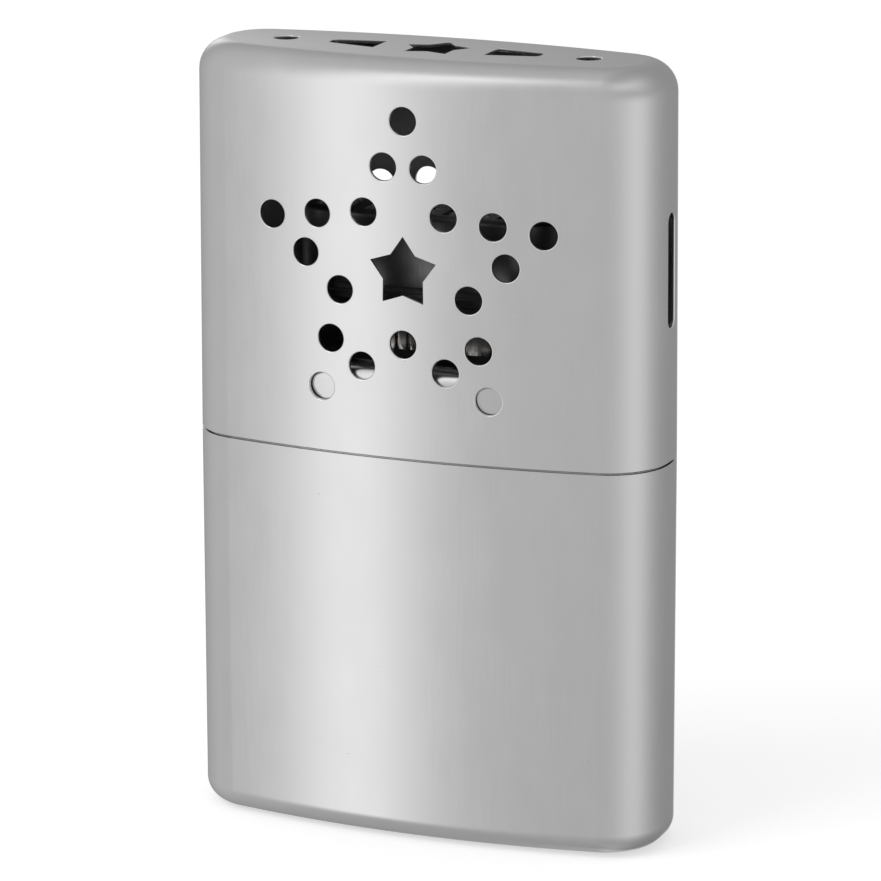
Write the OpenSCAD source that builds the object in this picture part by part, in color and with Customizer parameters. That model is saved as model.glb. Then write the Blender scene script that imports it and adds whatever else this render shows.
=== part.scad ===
// Catalytic hand warmer: a fuel tank packed with cotton, a catalyst burner on its filler neck,
// and a deep-drawn cap that slides over both. Millimetres. X is the width, Y the depth (front at -Y),
// Z is up, and the origin is the middle of the underside.

/* [Case] */
// Overall width
body_w = 66; // [62:0.5:76]
// Overall depth at the middle of the bulged faces
body_d = 23.3; // [22:0.1:28]
// Height of the cap
cap_h = 52.5; // [52:0.1:60]
// Radius of the four upright corners, seen from above
corner_r = 8.4; // [7:0.1:8.8]
// Width of the flat between the two corners of each end
end_flat = 1.9; // [0.5:0.1:2.6]
// Radius of the edge round the top of the cap
crown_r = 4.1; // [3:0.1:5]
// Radius of the edge round the underside of the tank
foot_r = 3.1; // [2.4:0.1:5]
// Sheet thickness of the cap
cap_wall = 0.5; // [0.4:0.05:0.8]
// Running clearance between the cap and the collar that it slides on
cap_fit = 0.3; // [0.3:0.05:0.5]

/* [Tank] */
// Height of the tank shell, up to the seam
tank_h = 52.4; // [46:0.2:58]
// Open seam between the tank shell and the closed cap
seam_gap = 0.3; // [0.2:0.05:0.5]
// Height of the collar above the seam
collar_rise = 12.3; // [10:0.1:16]
// Length of collar soldered inside the tank shell
collar_lap = 8; // [5:0.5:14]
// Sheet thickness of the collar and its top plate
collar_wall = 0.5; // [0.4:0.05:0.8]
// Radius of the collar's shoulder
shoulder_r = 2.6; // [1.8:0.1:3]
// Height of the neck above the collar's top plate
neck_rise = 4.5; // [4.4:0.1:6]
// Outer length of the oval neck
neck_l = 25.6; // [22:0.2:29]
// Outer width of the oval neck
neck_w = 10.6; // [10:0.2:11]
// Sheet thickness of the neck
neck_wall = 0.5; // [0.4:0.05:0.7]
// Width of the neck's flange under the top plate
flange_w = 1.4; // [1:0.1:1.8]
// Height that each pressed grip bead stands proud of the collar
bead_proud = 0.15; // [0.1:0.01:0.18]
// Radius of the grip beads
bead_r = 0.9; // [0.7:0.1:1.2]
// Length of the grip beads between the centres of their ends
bead_l = 4.5; // [3:0.5:5]
// Distance of the grip beads from the middle of the face
bead_x = 17; // [12:0.5:20]

/* [Packing] */
// Room left round the cotton
cotton_gap = 0.3; // [0.2:0.1:0.6]
// Thickness of the middle cotton layer
cotton_mid_t = 6.6; // [5:0.2:9]
// Length of the felt pad under the neck
felt_l = 34; // [28:0.5:38]
// Width of the felt pad
felt_w = 13; // [11:0.5:14]
// Thickness of the felt pad
felt_t = 4.6; // [2:0.1:8]
// Diameter of the holes in the cotton retainer
retainer_hole = 1.9; // [1.2:0.1:2.2]
// Distance between the holes in the cotton retainer
retainer_pitch = 3; // [2.6:0.1:3.2]
// Height of the retainer's turned-up rim
retainer_rim = 1.4; // [1:0.1:2]

/* [Burner] */
// Clearance between the neck and the burner sleeve
burner_fit = 0.3; // [0.3:0.05:0.5]
// Sheet thickness of the burner sleeve and its tray
sleeve_wall = 0.4; // [0.3:0.05:0.5]
// Gap between the tank's top plate and the sleeve's lower edge
sleeve_gap = 1.2; // [0.4:0.1:1.5]
// Height of the tray above the neck
tray_rise = 3; // [2:0.1:4]
// Height of the tray's turned-up rim
tray_rim = 1.1; // [0.9:0.1:1.5]
// Width of the ledge inside the sleeve that rests on the neck
ledge_w = 1; // [0.7:0.1:1.4]
// Height of the spring fingers cut in the sleeve's lower edge
finger_h = 2.4; // [1.5:0.1:3]
// Width of one spring finger
finger_w = 1; // [0.8:0.1:2]
// Width of the slit between two spring fingers
slit_w = 0.6; // [0.4:0.1:0.8]
// Sheet thickness of the cage
cage_wall = 0.35; // [0.3:0.05:0.5]
// Height of the cage
cage_h = 11.5; // [9:0.1:12.5]
// How far the cage stands out past the ends of the sleeve
cage_end = 5.2; // [3:0.1:6]
// How far the cage stands out past the front and back of the sleeve
cage_side = 0.2; // [0.1:0.05:0.8]
// Radius of the rounded upper edge of the cage
cage_edge_r = 0.8; // [0.6:0.1:1]
// Width of the cross bars and rim of the cage
bar_w = 1.4; // [1.2:0.1:1.8]
// Number of cross bars over the catalyst
bars = 8; // [5:1:10]
// Height of the air slot along the foot of the cage
air_slot_h = 1; // [0.7:0.1:1.4]
// Length of the air slot
air_slot_l = 24; // [16:0.5:24]
// Thickness of each wire gauze
gauze_t = 0.3; // [0.2:0.05:0.4]
// Size of the square meshes of the gauzes
gauze_mesh = 1.3; // [1:0.1:1.6]
// Distance between the meshes of the gauzes
gauze_pitch = 2; // [1.8:0.1:2.6]
// Room left round each piece that is trapped in the burner
nest_gap = 0.1; // [0.05:0.05:0.15]
// Diameter of the rivets that hold the cage in the tray
rivet_d = 1; // [0.7:0.05:1.1]
// Direction of the rivets in the rounded ends, from the long axis
rivet_angle = 45; // [30:5:60]
// Width of the ears that the rivets pass through
ear_w = 2.2; // [1.8:0.1:2.8]
// Height of the ears above the tray's rim
ear_rise = 1.9; // [1.7:0.1:2.4]

/* [Vents] */
// Diameter of the holes in the star pattern
vent_d = 4; // [3:0.1:4.6]
// Radius of the star pattern to the tips
pattern_tip_r = 20; // [17:0.1:21]
// Radius of the star pattern to the notches
pattern_notch_r = 9.5; // [8.5:0.1:11]
// Height of the middle of the star pattern above the cap's rim
pattern_rise = 24.75; // [24:0.05:28]
// Radius of the star-shaped holes to the tips
star_tip_r = 4.85; // [3.5:0.05:5.5]
// Radius of the star-shaped holes to the notches
star_notch_r = 2.95; // [2:0.05:3.2]
// Inner end of the tapered holes in the top
taper_start = 7.8; // [6.5:0.1:8.2]
// Length of the tapered holes in the top
taper_l = 7; // [5:0.1:7.6]
// Width of the tapered holes at the inner end
taper_wide = 5.4; // [3:0.1:6]
// Width of the tapered holes at the outer end
taper_narrow = 1.8; // [1:0.1:2.6]
// Diameter of the round holes in the top
top_hole_d = 3.2; // [2:0.1:4]
// Distance of the round holes in the top from the middle
top_hole_x = 21.3; // [18.5:0.1:23]
// Width of the slots in the ends of the cap
slot_w = 2.4; // [1.6:0.1:3.2]
// Length of the slots in the ends of the cap
slot_l = 15.2; // [10:0.1:18]
// Height of the middle of the end slots above the cap's rim
slot_rise = 25.45; // [20:0.05:30]

/* [Hidden] */
$fn = 96;
// Steps round each corner, along each face and over each rounded edge of the case
corner_steps = 10;
face_steps = 12;
edge_steps = 8;
// Solder film between two seated sheets
solder = 0.05;
// How far a cutting tool runs past a face
past = 1;

// The plan has two long, shallow arcs for its faces, each tangent to a corner arc at both ends
corner_x = body_w/2 - corner_r;
corner_y = end_flat/2;
bulge = body_d/2 - corner_y;
face_r = (pow(corner_x, 2) + pow(bulge, 2) - pow(corner_r, 2))/(2*(bulge - corner_r));
face_y = face_r - body_d/2;
face_angle = asin(corner_x/(face_r - corner_r));

// The tank's sheet fills the cap's wall and its clearance, so the two skins lie flush
collar_inset = cap_wall + cap_fit;
tank_wall = collar_inset - solder;
collar_inner = collar_inset + collar_wall;
plate_z = tank_h + collar_rise;
neck_top = plate_z + neck_rise;
rim_z = tank_h + seam_gap;
body_h = rim_z + cap_h;

// Levels under the top plate
flange_z = plate_z - collar_wall - neck_wall;
retainer_z = flange_z - solder;
felt_top = retainer_z - cotton_gap;
felt_z = felt_top - felt_t;
cotton_top = felt_z - cotton_gap;
cotton_inset = collar_inner + cotton_gap;

// Burner levels and plan sizes
sleeve_l = neck_l + 2*(burner_fit + sleeve_wall);
sleeve_w = neck_w + 2*(burner_fit + sleeve_wall);
sleeve_z = plate_z + sleeve_gap;
ledge_z = neck_top + nest_gap;
tray_z = neck_top + tray_rise;
tray_top = tray_z + tray_rim;
cage_l = sleeve_l + 2*cage_end;
cage_w = sleeve_w + 2*cage_side;
cage_z = tray_z + sleeve_wall + solder;
cage_top = cage_z + cage_h;
tray_l = cage_l + 2*(solder + sleeve_wall);
tray_w = cage_w + 2*(solder + sleeve_wall);
mat_l = cage_l - 2*(cage_wall + nest_gap);
mat_w = cage_w - 2*(cage_wall + nest_gap);
gauze_z = cage_z;
mat_z = gauze_z + gauze_t + nest_gap/2;
upper_z = cage_top - cage_wall - nest_gap/2 - gauze_t;
mat_top = upper_z - nest_gap/2;
ear_top = tray_top + ear_rise;
rivet_z = ear_top - ear_w/2;

// Points of a star with its first tip along +Y
function star_points(tip, notch) = [
    for (i = [0:9])
        let (r = i % 2 == 0 ? tip : notch)
        [r*sin(36*i), r*cos(36*i)]
];

// Points round the plan of the case at an inset, anticlockwise from the right-hand end
function case_outline(inset) = [
    for (side = [1, -1])
        each concat(
            [for (half = [-1, 1], i = [0:corner_steps])
                let (a = (90 - face_angle)*(i/corner_steps + (half - 1)/2), r = corner_r - inset)
                side*[corner_x + r*cos(a), half*corner_y + r*sin(a)]],
            [for (i = [1:face_steps - 1])
                let (a = face_angle*(1 - 2*i/face_steps), r = face_r - inset)
                side*[r*sin(a), r*cos(a) - face_y]]
        )
];

// Inset and height of each ring up the wall, with its foot and crown rounded
function wall_rings(inset, low, high, foot, crown) = concat(
    foot == 0 ? [[inset, low]] : [
        for (i = [0:edge_steps])
            let (a = 90*i/edge_steps)
            [inset + foot*(1 - sin(a)), low + foot*(1 - cos(a))]
    ],
    crown == 0 ? [[inset, high]] : [
        for (i = [0:edge_steps])
            let (a = 90*i/edge_steps)
            [inset + crown*(1 - cos(a)), high - crown*(1 - sin(a))]
    ]
);

// Solid with the plan of the case, inset all round, lofted through its rings
module case_blank(inset, low, high, foot = 0, crown = 0) {
    rings = wall_rings(inset, low, high, foot, crown);
    count = len(case_outline(0));
    last = len(rings) - 1;
    polyhedron(
        points = [for (ring = rings, p = case_outline(ring[0])) [p.x, p.y, ring[1]]],
        faces = concat(
            [[for (i = [0:count - 1]) i]],
            [for (k = [0:last - 1], i = [0:count - 1])
                let (j = (i + 1) % count)
                [k*count + i, (k + 1)*count + i, (k + 1)*count + j, k*count + j]],
            [[for (i = [count - 1:-1:0]) last*count + i]]
        )
    );
}

// Stadium-shaped plate or plug
module oval(l, w, low, high) {
    for (side = [-1, 1])
        translate([side*(l - w)/2, 0, low]) cylinder(h = high - low, d = w);
    translate([-(l - w)/2, -w/2, low]) cube([l - w, w, high - low]);
}

// Stadium-shaped tube
module oval_tube(l, w, wall, low, high) {
    difference() {
        oval(l, w, low, high);
        oval(l - 2*wall, w - 2*wall, low - past, high + past);
    }
}

// Deep-drawn tank, open at the seam
module tank_shell() {
    color("silver")
        difference() {
            case_blank(0, 0, tank_h, foot = foot_r);
            case_blank(tank_wall, tank_wall, tank_h + past, foot = foot_r - tank_wall);
        }
}

// Grip bead pressed out of the collar's long faces
module grip_bead(x) {
    bead_y = face_y - sqrt(pow(face_r - collar_inset + bead_proud - bead_r, 2) - pow(x, 2));
    for (turn = [0, 180])
        rotate([0, 0, turn])
            translate([x, bead_y, tank_h + (collar_rise - shoulder_r)/2 - bead_l/2]) {
                cylinder(h = bead_l, r = bead_r, $fn = 48);
                for (z = [0, bead_l])
                    translate([0, 0, z]) sphere(bead_r, $fn = 48);
            }
}

// Sleeve that the cap slides on, with its shoulder and top plate
module tank_collar() {
    color("silver")
        difference() {
            union() {
                case_blank(collar_inset, tank_h - collar_lap, plate_z, crown = shoulder_r);
                for (side = [-1, 1])
                    grip_bead(side*bead_x);
            }
            case_blank(collar_inner, tank_h - collar_lap - past, plate_z - collar_wall,
                       crown = shoulder_r - collar_wall);
            oval(neck_l + 2*solder, neck_w + 2*solder, plate_z - collar_wall - past, plate_z + past);
        }
}

// Oval filler neck, flanged under the top plate
module filler_neck() {
    color("gainsboro")
        difference() {
            union() {
                oval(neck_l, neck_w, flange_z, neck_top);
                oval(neck_l + 2*flange_w, neck_w + 2*flange_w, flange_z, flange_z + neck_wall - solder);
            }
            oval(neck_l - 2*neck_wall, neck_w - 2*neck_wall, flange_z - past, neck_top + past);
        }
}

// Perforated cup in the neck's lower end that keeps the cotton down
module cotton_retainer() {
    cup_l = neck_l - 2*(neck_wall + solder);
    cup_w = neck_w - 2*(neck_wall + solder);
    across = floor((cup_l - cup_w)/2/retainer_pitch);
    color("lightgray")
        difference() {
            oval(cup_l, cup_w, retainer_z, retainer_z + retainer_rim);
            oval(cup_l - 2*neck_wall, cup_w - 2*neck_wall,
                 retainer_z + neck_wall, retainer_z + retainer_rim + past);
            for (j = [-1:1], i = [-across - abs(j)/2:across + abs(j)/2])
                translate([i*retainer_pitch, j*retainer_pitch*sin(60), retainer_z - past])
                    cylinder(h = neck_wall + 2*past, d = retainer_hole, $fn = 24);
        }
}

// Felt pad that carries the fuel from the cotton to the neck
module wick_felt() {
    color("ivory") oval(felt_l, felt_w, felt_z, felt_top);
}

// One layer of the cotton packing, between two depths
module cotton_layer(front, back) {
    color("whitesmoke")
        intersection() {
            case_blank(cotton_inset, tank_wall + cotton_gap, cotton_top, foot = foot_r - tank_wall);
            translate([-body_w/2, front, 0]) cube([body_w, back - front, body_h]);
        }
}

module cotton_front() {
    cotton_layer(-body_d/2, -cotton_mid_t/2 - cotton_gap);
}

module cotton_middle() {
    cotton_layer(-cotton_mid_t/2, cotton_mid_t/2);
}

module cotton_rear() {
    cotton_layer(cotton_mid_t/2 + cotton_gap, body_d/2);
}

// Places and directions of the four rivets, out from the cage's rounded ends
module at_rivets() {
    for (side = [0, 180], a = [-rivet_angle, rivet_angle])
        rotate([0, 0, side])
            translate([(cage_l - cage_w)/2, 0, rivet_z]) rotate([0, 0, a]) children();
}

// Bores for the rivets, through the ears and the cage
module rivet_bores() {
    at_rivets()
        rotate([0, 90, 0]) cylinder(h = cage_w, d = rivet_d + 2*solder, $fn = 32);
}

// Sleeve that grips the neck with sprung fingers, flanged out to the tray that carries the cage
module burner_sleeve() {
    step = finger_w + slit_w;
    straight = (sleeve_l - sleeve_w)/2;
    along = floor(straight/step);
    color("silver")
        difference() {
            union() {
                oval_tube(sleeve_l, sleeve_w, sleeve_wall, sleeve_z, tray_z + sleeve_wall);
                oval_tube(sleeve_l - sleeve_wall, sleeve_w - sleeve_wall, ledge_w, ledge_z,
                          ledge_z + sleeve_wall);
                difference() {
                    oval(tray_l, tray_w, tray_z, tray_top);
                    oval(tray_l - 2*sleeve_wall, tray_w - 2*sleeve_wall,
                         tray_z + sleeve_wall, tray_top + past);
                    oval(sleeve_l - sleeve_wall, sleeve_w - sleeve_wall, tray_z - past, tray_top);
                }
                intersection() {
                    oval_tube(tray_l, tray_w, sleeve_wall, tray_z, ear_top);
                    at_rivets()
                        rotate([0, 90, 0]) {
                            cylinder(h = cage_w, d = ear_w, $fn = 32);
                            translate([0, -ear_w/2, 0])
                                cube([rivet_z - tray_z, ear_w, cage_w]);
                        }
                }
            }
            for (i = [-along:along])
                translate([i*step - slit_w/2, -sleeve_w/2 - past, sleeve_z - past])
                    cube([slit_w, sleeve_w + 2*past, finger_h + past]);
            for (side = [0, 180], a = [-60:20:60])
                rotate([0, 0, side])
                    translate([straight, 0, sleeve_z - past])
                        rotate([0, 0, a])
                            translate([sleeve_w/4, -slit_w/2, 0])
                                cube([sleeve_w/2, slit_w, finger_h + past]);
            rivet_bores();
        }
}

// Drawn blank of the cage at an inset, with its upper edge rounded
module cage_blank(inset, low, high, edge) {
    steps = 4;
    hull()
        for (k = [0:steps])
            let (a = 90*k/steps, drawn = inset + edge*(1 - cos(a)))
            oval(cage_l - 2*drawn, cage_w - 2*drawn, low, high - edge*(1 - sin(a)), $fn = 48);
}

// Drawn cage over the catalyst, slotted along its foot and barred on top
module burner_cage() {
    bay = (cage_l - 2*bar_w)/(bars + 1);
    color("gainsboro")
        difference() {
            cage_blank(0, cage_z, cage_top, cage_edge_r);
            cage_blank(cage_wall, cage_z - past, cage_top - cage_wall, cage_edge_r - cage_wall);
            intersection() {
                oval(cage_l - 2*bar_w, cage_w - 2*bar_w, cage_top - cage_wall - past, cage_top + past);
                for (i = [0:bars])
                    translate([-cage_l/2 + bar_w + bay*(i + 0.5), 0, cage_top - cage_wall - past])
                        translate([-(bay - bar_w)/2, -cage_w/2, 0])
                            cube([bay - bar_w, cage_w, cage_wall + 2*past]);
            }
            translate([-air_slot_l/2, -cage_w/2 - past, tray_top + nest_gap])
                cube([air_slot_l, cage_w + 2*past, air_slot_h]);
            rivet_bores();
        }
}

// Catalyst-coated glass-fibre mat with a crowned top
module catalyst_mat() {
    color("dimgray")
        intersection() {
            oval(mat_l, mat_w, mat_z, mat_top);
            translate([-mat_l/2, 0, mat_top - 2*mat_w])
                rotate([0, 90, 0]) cylinder(h = mat_l, r = 2*mat_w, $fn = 128);
        }
}

// Woven gauze, as a sheet with square meshes
module gauze(l, w, z) {
    cols = floor((l - w/2)/2/gauze_pitch);
    rows = floor((w/2 - gauze_mesh)/gauze_pitch);
    selvedge = gauze_pitch - gauze_mesh;
    difference() {
        oval(l, w, z, z + gauze_t);
        intersection() {
            oval(l - selvedge, w - selvedge, z - past, z + gauze_t + past);
            for (i = [-cols:cols], j = [-rows:rows])
                translate([i*gauze_pitch - gauze_mesh/2, j*gauze_pitch - gauze_mesh/2, z - past])
                    cube([gauze_mesh, gauze_mesh, gauze_t + 2*past]);
        }
    }
}

module lower_gauze() {
    color("lightgray") gauze(mat_l, mat_w, gauze_z);
}

module upper_gauze() {
    trim = 2*(cage_edge_r - cage_wall);
    color("lightgray") gauze(mat_l - trim, mat_w - trim, upper_z);
}

// Four rivets, headed outside
module cage_rivets() {
    color("silver")
        at_rivets()
            rotate([0, 90, 0]) {
                translate([0, 0, cage_w/2 - cage_wall])
                    cylinder(h = cage_wall + solder + sleeve_wall, d = rivet_d, $fn = 32);
                translate([0, 0, tray_w/2])
                    cylinder(h = 0.25, d1 = rivet_d*1.4, d2 = rivet_d, $fn = 32);
            }
}

// Outline of the star pattern: the tips, the notches and the middle of each side
module star_pattern(through) {
    corners = star_points(pattern_tip_r, pattern_notch_r);
    for (i = [0:9]) {
        here = corners[i];
        next = corners[(i + 1) % 10];
        for (p = [here, (here + next)/2])
            translate([p.x, -through/2, p.y])
                rotate([-90, 0, 0]) cylinder(h = through, d = vent_d, $fn = 64);
    }
    rotate([90, 0, 0])
        linear_extrude(through, center = true) polygon(star_points(star_tip_r, star_notch_r));
}

// Holes in the top: a star, two tapered holes and two round ones
module top_vents() {
    top = body_h - cap_wall - past;
    deep = cap_wall + 2*past;
    translate([0, 0, top]) {
        linear_extrude(deep) polygon(star_points(star_tip_r, star_notch_r));
        for (side = [-1, 1]) {
            linear_extrude(deep)
                polygon([
                    [side*taper_start, -taper_wide/2], [side*(taper_start + taper_l), -taper_narrow/2],
                    [side*(taper_start + taper_l), taper_narrow/2], [side*taper_start, taper_wide/2]
                ]);
            translate([side*top_hole_x, 0, 0]) cylinder(h = deep, d = top_hole_d, $fn = 64);
        }
    }
}

// Round-ended slots in both ends of the cap
module end_slots() {
    half = (slot_l - slot_w)/2;
    translate([-body_w/2 - past, 0, rim_z + slot_rise])
        rotate([0, 90, 0]) {
            for (end = [-1, 1])
                translate([end*half, 0, 0]) cylinder(h = body_w + 2*past, d = slot_w, $fn = 48);
            translate([-half, -slot_w/2, 0]) cube([2*half, slot_w, body_w + 2*past]);
        }
}

// Deep-drawn cap, pierced front, back, top and ends
module cap_shell() {
    color("silver")
        difference() {
            case_blank(0, rim_z, body_h, crown = crown_r);
            case_blank(cap_wall, rim_z - past, body_h - cap_wall, crown = crown_r - cap_wall);
            translate([0, 0, rim_z + pattern_rise]) star_pattern(body_d + 2*past);
            top_vents();
            end_slots();
        }
}

tank_shell();
tank_collar();
filler_neck();
cotton_retainer();
wick_felt();
cotton_front();
cotton_middle();
cotton_rear();
burner_sleeve();
burner_cage();
catalyst_mat();
lower_gauze();
upper_gauze();
cage_rivets();
cap_shell();
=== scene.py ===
# %% [markdown]
# # A catalytic hand warmer
#
# The real thing is a flat metal case in two halves. The lower half is a tank packed with
# cotton. A collar closes it and carries an oval neck, and on the neck sits a small burner with
# a catalyst mat. The upper half is a pierced cap that slides down over the collar. Nearly all
# of it is pressed from thin sheet, so nearly every piece here is made the way a press makes it:
# one profile is taken round a plan, given a thickness, and pierced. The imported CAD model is
# loaded first and gives every place and size.

# %% Load the frame
from math import asin, cos, degrees, pi, radians, sin, sqrt

import bmesh
import bpy
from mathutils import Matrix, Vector


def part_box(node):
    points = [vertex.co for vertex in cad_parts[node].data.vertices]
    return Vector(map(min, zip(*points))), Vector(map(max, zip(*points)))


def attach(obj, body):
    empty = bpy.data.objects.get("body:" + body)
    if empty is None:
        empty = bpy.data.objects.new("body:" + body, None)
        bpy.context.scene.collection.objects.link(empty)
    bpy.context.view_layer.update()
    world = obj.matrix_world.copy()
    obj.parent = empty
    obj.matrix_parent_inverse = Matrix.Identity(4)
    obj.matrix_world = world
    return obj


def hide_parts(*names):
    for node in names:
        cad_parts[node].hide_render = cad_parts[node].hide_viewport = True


MM = 0.001  # lengths are in metres
SAME_PLACE = 0.002 * MM  # points closer than this are one point
SHARP = radians(40)  # an edge that turns by more than this is a real corner

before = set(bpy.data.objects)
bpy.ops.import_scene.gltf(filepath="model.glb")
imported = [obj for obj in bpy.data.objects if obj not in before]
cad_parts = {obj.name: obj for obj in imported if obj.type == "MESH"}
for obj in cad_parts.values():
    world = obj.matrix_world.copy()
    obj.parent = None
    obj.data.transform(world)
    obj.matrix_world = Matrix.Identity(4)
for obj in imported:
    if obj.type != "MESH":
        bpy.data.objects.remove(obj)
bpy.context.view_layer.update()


def reach(node):
    """Half length, half width, lowest and highest level of a CAD node, in metres."""
    low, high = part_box(node)
    return high.x, high.y, low.z, high.z


HALF_W, HALF_D, RIM_Z, TOP_Z = reach("cap_shell")
SEAM_Z, PLATE_Z = reach("tank_shell")[3], reach("tank_collar")[3]
SLEEVE_Z, CAGE_TOP = reach("burner_sleeve")[2], reach("burner_cage")[3]
print("nodes:", len(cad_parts), "with the seam at", round(SEAM_Z / MM, 2), "mm")

# %% [markdown]
# ## Shader maths
#
# A finish is easier to read as a formula than as a web of nodes. A value here wraps one socket,
# and adding or multiplying values adds the Math nodes. Every other node comes from one method,
# which takes the node's type, its settings and what goes into its sockets.

# %% Values
class Value:
    """One varying number or colour. Sums and products of values add their own Math nodes."""

    def __init__(self, tree, socket):
        self.tree = tree
        self.socket = socket

    def maths(self, operation, *terms, clamp=False):
        node = self.tree.nodes.new("ShaderNodeMath")
        node.operation = operation
        node.use_clamp = clamp
        for slot, term in zip(node.inputs, terms):
            feed(self.tree, slot, term)
        return Value(self.tree, node.outputs[0])

    def __add__(self, other):
        return self.maths("ADD", self, other)

    def __sub__(self, other):
        return self.maths("SUBTRACT", self, other)

    def __rsub__(self, other):
        return self.maths("SUBTRACT", other, self)

    def __mul__(self, other):
        return self.maths("MULTIPLY", self, other)

    def __truediv__(self, other):
        return self.maths("DIVIDE", self, other)

    __radd__ = __add__
    __rmul__ = __mul__

    def held(self):
        """The value, held between 0 and 1."""
        return self.maths("ADD", self, 0.0, clamp=True)

    def exp(self):
        return self.maths("EXPONENT", self)

    def size(self):
        return self.maths("ABSOLUTE", self)


def feed(tree, slot, term):
    """Link a value to a socket, or set the socket to a plain number or colour."""
    if isinstance(term, Value):
        tree.links.new(term.socket, slot)
    else:
        slot.default_value = term


# %% Node graphs
class Graph:
    """The nodes of one material, or of the world."""

    def __init__(self, owner):
        owner.use_nodes = True
        self.tree = owner.node_tree

    def node(self, kind, settings={}, inputs={}, out=0):
        """Add a node: first its settings, then its sockets. Returns one output as a value."""
        node = self.tree.nodes.new("ShaderNode" + kind)
        for setting, value in settings.items():
            if setting == "stops":
                set_stops(node.color_ramp.elements, value)
            else:
                setattr(node, setting, value)
        for slot, term in inputs.items():
            feed(self.tree, node.inputs[slot], term)
        return Value(self.tree, node.outputs[out]) if len(node.outputs) else node

    def blend(self, amount, first, second):
        """A colour between two colours."""
        first, second = [c if isinstance(c, Value) else (*c, 1) for c in (first, second)]
        return self.node("Mix", {"data_type": "RGBA"}, {0: amount, 6: first, 7: second}, out=2)

    def grey(self, amount):
        """A varying number as a grey colour."""
        return self.node("CombineColor", {}, {"Red": amount, "Green": amount, "Blue": amount})


def set_stops(ramp, stops):
    """Put these (position, colour) stops on a colour ramp, lowest first."""
    ramp[0].position, ramp[-1].position = stops[0][0], stops[-1][0]
    for position, _ in stops[1:-1]:
        ramp.new(position)
    for element, (_, colour) in zip(ramp, stops):
        element.color = (*colour, 1)


class Finish(Graph):
    """A material whose patterns are fixed to the piece by its Object coordinates, in metres."""

    def __init__(self, name):
        self.material = bpy.data.materials.new(name)
        super().__init__(self.material)
        self.shader = self.tree.nodes["Principled BSDF"]
        self.place = self.node("TexCoord", out="Object")

    def level(self):
        """Height above the floor, in metres."""
        return self.node("SeparateXYZ", {}, {"Vector": self.place}, out="Z")

    def spaced(self, size):
        """The place counted in cells of this size, given as one length or as three."""
        cells = [1 / s for s in (size if isinstance(size, tuple) else (size,) * 3)]
        return self.node("Mapping", {}, {"Vector": self.place, "Scale": cells})

    def cloud(self, size, detail=2.0, rough=0.5):
        """Soft noise from 0 to 1 with blobs of this size."""
        return self.node("TexNoise", {}, {"Vector": self.spaced(size), "Scale": 1.0,
                                          "Detail": detail, "Roughness": rough})

    def specks(self, spacing, radius):
        """1 on small specks about one spacing apart, 0 elsewhere. radius is a share of that."""
        distance = self.node("TexVoronoi", {}, {"Vector": self.spaced(spacing), "Scale": 1.0})
        return ((radius - distance) * (4 / radius)).held()

    def relief(self, height):
        """A bump of this height, in metres, that feeds the shader's Normal."""
        return self.node("Bump", {}, {"Height": height, "Distance": 1.0, "Strength": 1.0})

    def surface(self, **sockets):
        """Set the shader's sockets, named with _ for a space."""
        for name, term in sockets.items():
            feed(self.tree, self.shader.inputs[name.replace("_", " ")], term)
        return self


print("shader tools ready")

# %% [markdown]
# ## Metal finishes
#
# The case is plated and brushed very finely up and down, which spreads its reflections into
# soft upright bands. Four things make plated sheet look real: the fine grain, faint clouds
# where fingers have rubbed it, a few tiny pits, and the slight wave that pressing leaves. One
# recipe gives them all. The inside of a pressing isn't polished, so it is duller and darker,
# and an edge that was rolled over by a punch is brighter than the sheet round it. The collar's
# top plate and the foot of the neck stand in shade under the burner, and that shade is painted
# into them as a black, duller film, so these two finishes also follow the height.

# %% The recipe for a metal
RUB_SIZE = (5 * MM, 5 * MM, 9 * MM)
WAVE_SIZE, WAVE_HEIGHT = (9 * MM, 9 * MM, 14 * MM), 6e-6
GRAIN_HEIGHT = 3e-7
PIT_SPACING, PIT_RADIUS = 4.2 * MM, 0.022


def plated(name, shade, roughness, tint=(1, 1, 1), grain=(0.16 * MM, 0.16 * MM, 7 * MM),
           rubbed=0.05, painted_shade_by_level=None):
    """A metal with this reflectance and roughness. grain is the size of one brush mark.

    The last argument turns a level into 0 to 1: how far painted shade darkens and dulls the metal
    there."""
    finish = Finish(name)
    marks = finish.cloud(grain, detail=3, rough=0.6)
    clouds = finish.cloud(RUB_SIZE, detail=4, rough=0.55)
    pits = finish.specks(PIT_SPACING, PIT_RADIUS)
    waves = finish.cloud(WAVE_SIZE, detail=1) * WAVE_HEIGHT
    light = shade * (1 + (clouds - 0.5) * (0.8 * rubbed) + (marks - 0.5) * 0.05)
    light = light * (1 - pits * 0.25)
    rough = roughness + (clouds - 0.5) * rubbed + (marks - 0.5) * 0.06 + pits * 0.15
    # Painted shade: where the metal stands in shade under the burner, its colour is darkened
    # towards black and it is made duller.
    if painted_shade_by_level:
        painted_shade = painted_shade_by_level(finish.level()).held()
        light = light * (1 - painted_shade * (0.7 + clouds * 0.35).held())
        rough = rough + painted_shade * 0.45
    return finish.surface(
        Base_Color=finish.blend(light, (0, 0, 0), tint),
        Metallic=1.0,
        Roughness=rough,
        Normal=finish.relief(waves + marks * GRAIN_HEIGHT),
    )


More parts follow.
